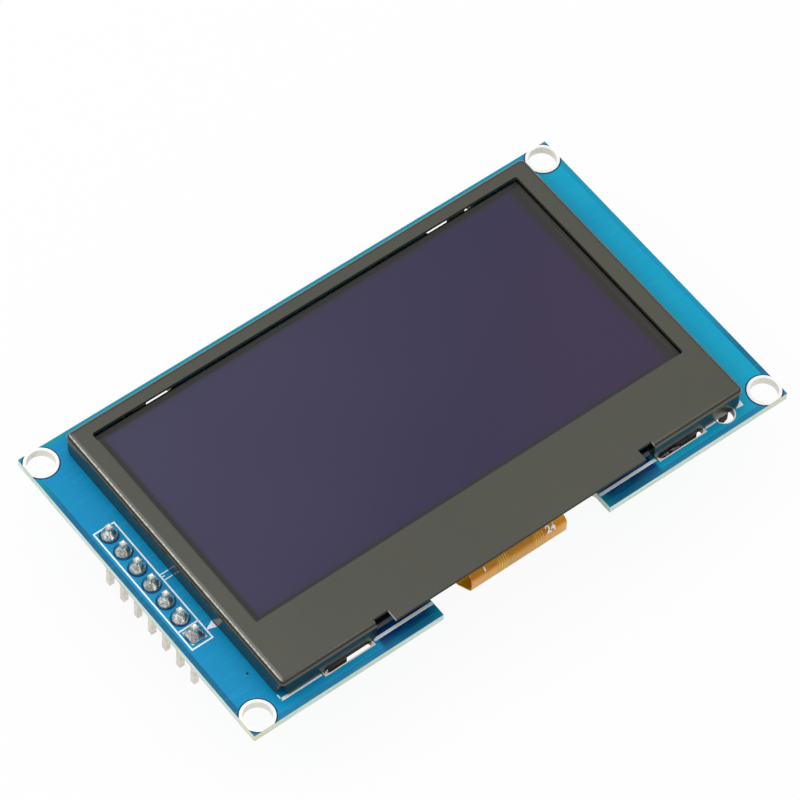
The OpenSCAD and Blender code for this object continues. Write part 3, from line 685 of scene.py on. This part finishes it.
def lathe(centre, radii, heights, turns=20):
    """A profile of radii and heights turned about an upright axis."""
    angle = np.linspace(0, 2 * math.pi, turns, endpoint=False)[None, :]
    radii, heights = np.asarray(radii, float)[:, None], np.asarray(heights, float)[:, None]
    x, y = centre[0] + radii * np.cos(angle), centre[1] + radii * np.sin(angle)
    return np.stack([x, y, heights + 0 * angle], -1)


def rear_disc(centre, radius, thick):
    """A flat disc on the rear face: a profile out, down its edge and back."""
    return lathe(centre, [0, radius, radius, 0], REAR_Z - np.array([0, 0, thick, thick]))


# ---------------------------------------------------------------- print and copper

INK_T = 0.02
COPPER_T = 0.018
HEADER_FRAME = (-35.0, -8.95, -32.37, 8.65)
LAST_PIN_LINE = -6.4
MARKS_END = -31.26             # the lines beside the header stop here, just short of the bezel
TRACKS_END = -31.2             # and its tracks here, at the bezel's edge
POINTER = [(-32.41, -7.82), (-31.28, -8.2), (-31.28, -7.24)]
OUTLINE_Y, OUTLINE_W = -19.44, 0.40        # the bezel's printed outline: outer edge and width
OUTLINE_RUNS = [(-11.3, -19.05), (-25.95, -31.2), (11.3, 19.05), (25.95, 27.35)]
OUTLINE_LEFT = -31.13          # middle of the short return at its left end
OUTLINE_CORNER = [(30.2, -19.37), (31.19, -19.44), (31.27, -18.75)]
FRONT_VIAS = [(-32.08, -14.62)]
REAR_VIAS = [(x, y) for y in (5.4, 16.6) for x in (-27.5, -23.2, -12.4, -4.8, 4.6, 12.3, 25.9)]
REAR_VIAS += [(-28.3, -12.5), (-20.4, -14.2), (-14.6, -5.8), (14.2, -5.5), (20.7, -13.6),
              (28.6, -8.2), (31.4, 3.3)]
SUPPLY_RUNS = [("converter_chip", "power_coil"), ("power_coil", "diode"),
               ("capacitor_6", "regulator"), ("regulator", "capacitor_5")]


def front_prints(ink):
    """The header's frame with the last pin's cell, two short lines and a pointer beside it, and
    the outline that the bezel is set to, which shows where the bezel doesn't cover it."""
    x0, _, x1, _ = HEADER_FRAME
    lines = [frame_line(0.2, *HEADER_FRAME), line(0.2, (x0, LAST_PIN_LINE), (x1, LAST_PIN_LINE))]
    lines += [line(0.15, (x1 + 0.1, y), (MARKS_END, y)) for y in (0.47, -0.33)]
    lines.append(line(0.14, (x1, 0.12), (x1 + 0.42, 0.12)))
    y = OUTLINE_Y + OUTLINE_W / 2
    lines += [line(OUTLINE_W, (start, y), (end, y)) for start, end in OUTLINE_RUNS]
    lines.append(line(0.15, (OUTLINE_LEFT, -19.4), (OUTLINE_LEFT, -18.55)))
    strips("front_print", lines, INK_T, 0, 1, ink)
    marks = [slab(outline, INK_T, 0, 1) for outline in (POINTER, OUTLINE_CORNER)]
    piece_from("front_print_marks", marks, ink)


def around(node, margin):
    """Outline round a node's plan, margin away from it."""
    low, high = corners(node)
    return low[0] - margin, low[1] - margin, high[0] + margin, high[1] + margin


def rear_prints(ink):
    """Outlines of the parts on the rear, with a dot at each chip's first lead, and a frame round
    the header with a bar beside its first pin."""
    lines, dots = [], []
    for name in sorted(NODES):
        if name.startswith("capacitor_"):
            lines.append(frame_line(0.15, *around(name, 0.42)))
        elif name.startswith("resistor_"):
            x0, y0, x1, y1 = around(name, 0.3)
            lines += [line(0.13, (x, y0), (x, y1)) for x in (x0, x1)]
    for name in ("converter_chip", "regulator"):
        x0, y0, x1, y1 = around(name, 0.3)
        lines += [line(0.15, (x, y0 - 0.5), (x, y1 + 0.5)) for x in (x0, x1)]
        dots.append((x0 - 0.45, y0 - 0.2))
    x0, y0, x1, y1 = around("diode", 0.3)
    lines += [line(0.15, (x0, y), (x1, y)) for y in (y0, y1)]
    lines.append(line(0.2, (x1 + 0.9, y0), (x1 + 0.9, y1)))
    lines.append(frame_line(0.15, *around("power_coil", 0.5)))
    header = around("header_housing", 0.25)
    lines.append(frame_line(0.15, *header))
    bar_x, first_y = header[2] + 0.3, PINS[0][1]
    lines.append(line(0.3, (bar_x, first_y - 0.6), (bar_x, first_y + 0.6)))
    strips("rear_print", lines, INK_T, REAR_Z, -1, ink)
    marks = [rear_disc(dot, 0.18, INK_T) for dot in dots]
    piece_from("rear_print_dots", marks, ink, capped=False)


def front_tracks(finish):
    """Tracks that leave the header's pads under the mask, step to either side by turns and run up
    to the bezel."""
    lines = []
    for i, (x, y, _) in enumerate(PINS):
        level = y + 0.35 * (-1) ** i
        lines.append(line(0.3, (x + PAD_R, y), (x + 1.5, level), (TRACKS_END, level)))
    strips("front_track", lines, COPPER_T, 0, 1, finish)


def rear_tracks(finish):
    """Tracks on the rear: a bundle that fans out from the flex cable's joints to the resistors,
    a bus from the header, and the supply's wide runs between coil, chips and capacitors."""
    lines = []
    resistors = [corners(name) for name in sorted(NODES) if name.startswith("resistor_")]
    for joint, (low, high) in zip(solids("flex_joints")[2:-2:2], resistors):
        x, goal_x, y = (joint[0][0] + joint[1][0]) / 2, (low[0] + high[0]) / 2, joint[1][1]
        bend_y = y + 1.2 + 0.35 * abs(goal_x) / 2
        lines.append(line(0.2, (x, y), (x, bend_y), (goal_x, bend_y + abs(goal_x - x) * 0.5),
                          (goal_x, low[1])))
    for i, (x, y, _) in enumerate(PINS):
        bend_x, level = -27.5 + 0.5 * i, 4.2 - 0.55 * i
        lines.append(line(0.2, (x + 1.3, y), (bend_x, y), (bend_x + abs(level - y), level),
                          (-11.4, level)))
    for run in SUPPLY_RUNS:
        lines.append(line(0.8, *(sum(corners(name))[:2] / 2 for name in run)))
    strips("rear_track", lines, COPPER_T, REAR_Z, -1, finish)


def vias(finish, mouth):
    """Filled vias: a low ring of mask, 0.026 mm high, round a dark mouth."""
    rims, mouths = [], []
    for places, face, up in ((FRONT_VIAS, 0.0, 1), (REAR_VIAS, REAR_Z, -1)):
        rim = face + up * np.array([0, 0.02, 0.026, 0])
        rims += [lathe(place, [0.36, 0.30, 0.2, 0.14], rim, 16) for place in places]
        mouths += [lathe(place, [0, 0.16], [face + up * 0.008] * 2, 16) for place in places]
    piece_from("via_rims", rims, finish, capped=False, smooth=True)
    piece_from("via_mouths", mouths, mouth, capped=False)


# ---------------------------------------------------------------- solder

NECK_R = 0.36              # solder round a pin, at the top of its cone
PAD_FACE = 0.045           # the pads' height above the board
PAD_T = 0.03               # the rear pads' thickness
TEST_PADS = [(-29.5, 12.2), (-29.5, -14.4), (29.4, 13.5), (26.5, -12.8), (2.2, 17.4)]
LEADED = [("converter_leads", "converter_chip", 1), ("regulator_leads", "regulator", 1),
          ("diode_leads", "diode", 0), ("coil_terminals", "power_coil", 0)]


def solder_cone(centre, seed, square):
    """A soldered pin's cone. With t from 0 at the pad to 1 at the neck, its radius falls from foot
    to neck as (1 + cos(pi * t ** 0.95)) / 2, and slow waves round it make it uneven. A square
    pad's foot is a superellipse of power 6 that turns round as it rises."""
    draws = np.random.default_rng(seed)
    t = np.linspace(0, 1, 26)[:, None]
    angle = np.linspace(0, 2 * math.pi, 56, endpoint=False)[None, :]
    foot, height = PAD_R + 0.01, 1.30 + draws.uniform(-0.12, 0.14)
    fall = (1 + np.cos(math.pi * t ** 0.95)) / 2
    waves = sum(draws.uniform(-1, 1) / k * np.cos(k * angle + draws.uniform(0, 6))
                for k in range(1, 7))
    edge = (np.abs(np.cos(angle)) ** 6 + np.abs(np.sin(angle)) ** 6) ** (-1 / 6) if square else 1
    outline = 1 + (edge - 1) * np.clip(1 - 1.6 * t, 0, 1)
    uneven = 1 + 0.07 * waves * np.sin(math.pi * t)
    radius = (NECK_R + (foot - NECK_R) * fall) * outline * uneven
    z = PAD_FACE + height * t * (1 + 0.06 * np.cos(angle + draws.uniform(0, 6)) * t)
    return np.stack([centre[0] + radius * np.cos(angle), centre[1] + radius * np.sin(angle), z], -1)


def solder_cones(finish):
    """A cone at every header pin. The last pin's pad is square."""
    for i, centre in enumerate(PINS, 1):
        grid = solder_cone(centre, 40 + i, i == len(PINS))
        cone = piece_from(f"solder_cone_{i}", [grid], finish, smooth=True)
        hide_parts(f"pin_solder_{i}")


def fillet(low, high, axis, side, reach, rise):
    """Solder at one end of a part on the rear. Its height falls from rise at the part's end to
    nothing at its reach as the square of what is left, and it narrows a little towards its tip."""
    across = 1 - axis
    t = np.append(np.linspace(0, 1, 7), 0)
    height = np.append(rise * (1 - t[:-1]) ** 2 + 0.02, 0)
    v = np.linspace(-1, 1, 7)[:, None]
    out = t[None, :] * reach * (1 - 0.25 * v ** 4) - 0.02
    grid = np.zeros((7, 8, 3))
    face = high[axis] if side > 0 else low[axis]
    grid[..., axis] = face + side * out
    half = (high[across] - low[across]) / 2
    grid[..., across] = low[across] + half + v * half * (1.02 - 0.12 * t[None, :])
    grid[..., 2] = REAR_Z - height[None, :]
    return grid


def rear_joints():
    """Every soldered end on the rear: (low, high, axis, side) of the part or lead that it holds."""
    joints = []
    for name in sorted(NODES):
        if name.startswith(("capacitor_", "resistor_")):
            axis = 0 if name.startswith("capacitor_") else 1
            joints += [(*corners(name), axis, side) for side in (-1, 1)]
    for leads, body, axis in LEADED:
        middle = sum(corners(body))[axis] / 2
        joints += [(low, high, axis, 1 if low[axis] > middle - 0.01 else -1)
                   for low, high in solids(leads)]
    return joints


def rear_solder(solder, plating):
    """A fillet and a tinned pad at every soldered end, and round test pads."""
    fillets, pads = [], []
    for low, high, axis, side in rear_joints():
        rise = min(0.35, 0.6 * (REAR_Z - low[2]))
        fillets.append(fillet(low, high, axis, side, 0.24, rise))
        box = np.array([low[:2] - 0.1, high[:2] + 0.1])
        face = high[axis] if side > 0 else low[axis]
        box[:, axis] = sorted([face - side * 0.4, face + side * 0.38])
        pads.append(slab(box_outline(*box.ravel(), 0.08), PAD_T, REAR_Z, -1))
    pads += [rear_disc(place, 0.6, PAD_T) for place in TEST_PADS]
    piece_from("rear_fillets", fillets, solder, smooth=True)
    piece_from("rear_pads", pads, plating)


def lump(centre, half, seed, waviness):
    """A closed lump: an ellipsoid whose radius is moved by a few waves round and along it."""
    draws = np.random.default_rng(seed)
    polar = np.linspace(0, math.pi, 18)[:, None]
    angle = np.linspace(0, 2 * math.pi, 28, endpoint=False)[None, :]
    waves = sum(draws.uniform(-1, 1) * np.cos(k * angle + m * polar + draws.uniform(0, 6))
                for k in range(1, 4) for m in range(1, 4))
    waist, level = np.sin(polar), np.cos(polar) + 0 * angle
    ball = np.stack([waist * np.cos(angle), waist * np.sin(angle), level], -1)
    scale = 1 + waviness * waves * waist
    return np.asarray(centre) + ball * scale[..., None] * np.asarray(half)


def tab_solder(solder, painted_shade_solder):
    """Solder in the tabs' slots: lumps at the right front tab and a fill at the left end of the
    slot behind it, both painted dark as the slots' shade, and a bead at the left front one."""
    slot_y = sum(solids("slot_rims")[3])[1] / 2
    lumps = [lump((20.3, slot_y - 0.12, -0.45), (1.0, 0.46, 0.42), 3, 0.07),
             lump((21.7, slot_y - 0.05, -0.5), (1.1, 0.5, 0.36), 8, 0.08)]
    fill = lump((-23.1, 19.15, -0.5), (0.75, 0.5, 0.42), 6, 0.06)
    bead = lump((-25.45, -19.35, 0.0), (0.22, 0.2, 0.16), 5, 0.05)
    for name, grids, finish in (("tab_solder", lumps, painted_shade_solder), ("tab_fill", [fill], painted_shade_solder),
                                ("tab_bead", [bead], solder)):
        piece_from(name, grids, finish, capped=False, smooth=True)


# ---------------------------------------------------------------- flex cable and small parts

FLEX_T = 0.12
FLEX_BEND_R = 0.95         # upper bend, to the middle of the film


def on_flex(s, x, lift):
    """Point on the flex cable's outer face, s down from the top of its upper bend, at x across it
    and lifted off the film: a quarter circle about the bend's axis, then a straight drop."""
    radius = FLEX_BEND_R + FLEX_T / 2
    angle = np.clip(s / radius, 0, math.pi / 2)
    drop = np.clip(s - radius * math.pi / 2, 0, None)
    y = FLEX_LOW[1] + radius - (radius + lift) * np.sin(angle)
    z = FLEX_HIGH[2] - radius + (radius + lift) * np.cos(angle) - drop
    return np.stack([x + 0 * s, y, z], -1)


def flex_number(text, x, s, size, ink):
    """A plain number printed on the flex cable: its flat mesh is laid along the bend."""
    curve = bpy.data.curves.new("flex_number", "FONT")
    curve.body = text
    curve.size = size
    curve.extrude = 0.006
    curve.offset = 0.03
    curve.align_x = "CENTER"
    curve.align_y = "CENTER"
    carrier = bpy.data.objects.new("flex_number_type", curve)
    bpy.context.scene.collection.objects.link(carrier)
    bpy.context.view_layer.update()
    printed = carrier.evaluated_get(bpy.context.evaluated_depsgraph_get())
    mesh = bpy.data.meshes.new_from_object(printed)
    bpy.data.objects.remove(carrier)
    flat = np.empty(len(mesh.vertices) * 3)
    mesh.vertices.foreach_get("co", flat)
    flat = flat.reshape(-1, 3)
    laid = on_flex(s - flat[:, 1], x + flat[:, 0], 0.008 + flat[:, 2])
    mesh.vertices.foreach_set("co", (laid * MM).ravel())
    hang("flex_number", mesh, ink, False)


def flex_tick(x, s, length, width, ink):
    """A printed tick along the flex cable: a strip that follows the bend."""
    run = np.linspace(s, s + length, 9)[:, None]
    side = np.array([-1, -1, 1, 1])[None, :] * width / 2
    lift = np.array([-0.002, 0.012, 0.012, -0.002])[None, :]
    piece_from("flex_tick", [on_flex(run + 0 * side, x + side, lift)], ink)


def coil_face(finish):
    """The raised ring and core that the coil's mould leaves on its face."""
    low, high = corners("power_coil")
    centre, face = (low + high) / 2, low[2]
    ring_z, core_z = np.array([0.03, -0.03, -0.03, 0.03]), np.array([-0.025, -0.025, 0.03])
    ring = lathe(centre, [1.62, 1.58, 1.38, 1.34], face + ring_z, 48)
    core = lathe(centre, [0, 1.05, 1.1], face + core_z, 48)
    piece_from("coil_face", [ring, core], finish, capped=False, smooth=True)


# ---------------------------------------------------------------- light, floor and camera

CAMERA_PLACE = (-189.175, -218.688, 435.349)
CAMERA_AIM = (1.593, 3.067, 0.0)
CAMERA_ROLL = 3.69
CAMERA_LENS = 218.7
FLOOR_Z = -9.75
FLOOR_HALF = 3000
FLOOR_GLOW = 0.93              # how far the floor shows as white; the rest keeps a shadow
WORLD_LEVEL = 0.86
WALL_DIP = 0.75
LAMPS = [                      # name, azimuth from +X, elevation, distance, size, radiance
    ("key", 100, 74, 500, 260, 1.6),
    ("strip", 143, 44, 500, 130, 6.0),
]


def white_floor():
    """A wide pale floor that shows as white, keeps a faint shadow and is open from below."""
    f = Finish("pale_floor", Roughness=0.9)
    f.feed(Base_Color=f.blend(f.noise(400), (0.86, 0.86, 0.86), (0.88, 0.88, 0.88)))
    plain = Signal(f, f.shader.outputs[0])
    glow = f.node("ShaderNodeEmission", None, (1, 1, 1), 1.0)
    lit = f.node("ShaderNodeMixShader", None, f.shown() * FLOOR_GLOW, at={1: plain, 2: glow})
    clear = f.node("ShaderNodeBsdfTransparent")
    back = f.node("ShaderNodeNewGeometry", out="Backfacing")
    sided = f.node("ShaderNodeMixShader", None, back, at={1: lit, 2: clear})
    f.plug(f.tree.nodes["Material Output"].inputs["Surface"], sided)
    square = box_outline(-FLOOR_HALF, -FLOOR_HALF, FLOOR_HALF, FLOOR_HALF)
    points = np.column_stack([square, np.full(4, FLOOR_Z)]) * MM
    mesh = bpy.data.meshes.new("floor")
    mesh.from_pydata(points.tolist(), [], [(0, 1, 2, 3)])
    mesh.materials.append(f.material)
    floor = bpy.data.objects.new("floor", mesh)
    bpy.context.scene.collection.objects.link(floor)


def white_world():
    """White surroundings at a plain level, shown as white. Mirrored rays find them dimmer near the
    horizon, as a studio's walls are, which gives glossy bends their dark lines."""
    world = bpy.data.worlds.new("studio")
    world.use_nodes = True
    nodes = Nodes(world.node_tree)
    background = nodes.tree.nodes["Background"]
    nodes.plug(background.inputs["Color"], (1, 1, 1))
    height = nodes.split(nodes.node("ShaderNodeTexCoord", out="Generated"))[2]
    walls = nodes.ray("Glossy") * (1 - nodes.step(height, 0.25, 0.75)) * WALL_DIP
    strength = WORLD_LEVEL + nodes.shown() * (1 - WORLD_LEVEL) - walls
    nodes.plug(background.inputs["Strength"], strength)
    bpy.context.scene.world = world


def aimed(place, aim):
    """Where a lamp or a lens stands at place and looks at aim, with its own Y upwards."""
    turn = (aim - place).to_track_quat("-Z", "Y").to_matrix().to_4x4()
    return Matrix.Translation(place) @ turn


def lamp(name, azimuth, elevation, distance, size, radiance):
    """A square lamp that looks at the module; radiance is what the module sees of it."""
    a, e = math.radians(azimuth), math.radians(elevation)
    way = Vector((math.cos(a) * math.cos(e), math.sin(a) * math.cos(e), math.sin(e)))
    light = bpy.data.lights.new(name, "AREA")
    light.shape = "SQUARE"
    light.size = size * MM
    light.energy = radiance * math.pi * (size * MM) ** 2
    holder = bpy.data.objects.new(name, light)
    holder.matrix_world = aimed(way * distance * MM, Vector((0, 0, 0)))
    bpy.context.scene.collection.objects.link(holder)


def camera():
    """A long lens, rolled a little about its own axis."""
    lens = bpy.data.cameras.new("camera")
    lens.lens = CAMERA_LENS
    lens.sensor_width = 36
    lens.clip_start = 0.01
    holder = bpy.data.objects.new("camera", lens)
    roll = Matrix.Rotation(math.radians(CAMERA_ROLL), 4, "Z")
    holder.matrix_world = aimed(Vector(CAMERA_PLACE) * MM, Vector(CAMERA_AIM) * MM) @ roll
    bpy.context.scene.collection.objects.link(holder)
    bpy.context.scene.camera = holder


# ---------------------------------------------------------------- the module

CAPACITOR_BODY = ((0.30, 0.19, 0.10), (0.36, 0.24, 0.13))
RESISTOR_BODY = ((0.012, 0.012, 0.014), (0.022, 0.022, 0.024))


def node_finishes(solder, plating, slot_rim, mask):
    """The finish of every node."""
    glass, black, pins = glass_finish(), moulded_finish(), pin_finish()
    tin = plating_finish("dull_tin", (0.62, 0.61, 0.58), (0.5, 0.49, 0.46))
    diode_end = corners("diode")[1][0]
    finishes = {
        "board": mask, "pin_pads": plating, "slot_rims": slot_rim, "key_rim": slot_rim,
        "bezel": bezel_finish(), "polarizer": film_finish(), "panel_tape": tape_finish(),
        "front_glass": glass, "rear_glass": glass, "driver_chip": silicon_finish(),
        "flex_cable": flex_finish(), "flex_joints": solder, "header_housing": black,
        "converter_chip": black, "converter_leads": tin, "regulator": black,
        "regulator_leads": tin, "diode": band_finish("diode", diode_end - 0.75, diode_end - 0.35),
        "diode_leads": tin, "power_coil": ferrite_finish(), "coil_terminals": tin,
    }
    for name in NODES:
        if name.startswith("mounting_ring_"):
            finishes[name] = plating
        elif name.startswith("header_pin_"):
            finishes[name] = pins
        elif name.startswith("pin_solder_"):
            finishes[name] = solder
        elif name.startswith("capacitor_"):
            finishes[name] = chip_part_finish(name, 0, 0.35, *CAPACITOR_BODY)
        elif name.startswith("resistor_"):
            finishes[name] = chip_part_finish(name, 1, 0.3, *RESISTOR_BODY)
    return finishes


def dress(finishes):
    """Gives each node its finish."""
    for node, finish in finishes.items():
        materials = NODES[node].data.materials
        materials.clear()
        materials.append(finish)


solder = solder_finish("solder", (0.88, 0.87, 0.80), (0.56, 0.55, 0.50))
# solder painted dark as shade inside the slots
painted_shade_solder = solder_finish("burnt_solder", (0.20, 0.18, 0.15), (0.030, 0.026, 0.022))
slot_rim = plating_finish("slot_plating", (0.96, 0.96, 0.94), (0.05, 0.045, 0.04))
plating = plating_finish("tinned_copper", (0.98, 0.97, 0.94), (0.84, 0.81, 0.75))
mask = mask_finish()
track = track_finish()
ink = ink_finish()
dress(node_finishes(solder, plating, slot_rim, mask))
front_tracks(track)
rear_tracks(track)
front_prints(ink)
rear_prints(ink)
vias(mask, pit_finish())
solder_cones(solder)
rear_solder(solder, plating)
tab_solder(solder, painted_shade_solder)
flex_number("24", 4.35, 0.85, 1.25, ink)
flex_tick(-4.5, 0.45, 0.5, 0.16, ink)
coil_face(ferrite_finish())

bpy.context.scene.view_settings.view_transform = "Standard"
white_floor()
white_world()
for lamp_values in LAMPS:
    lamp(*lamp_values)
camera()
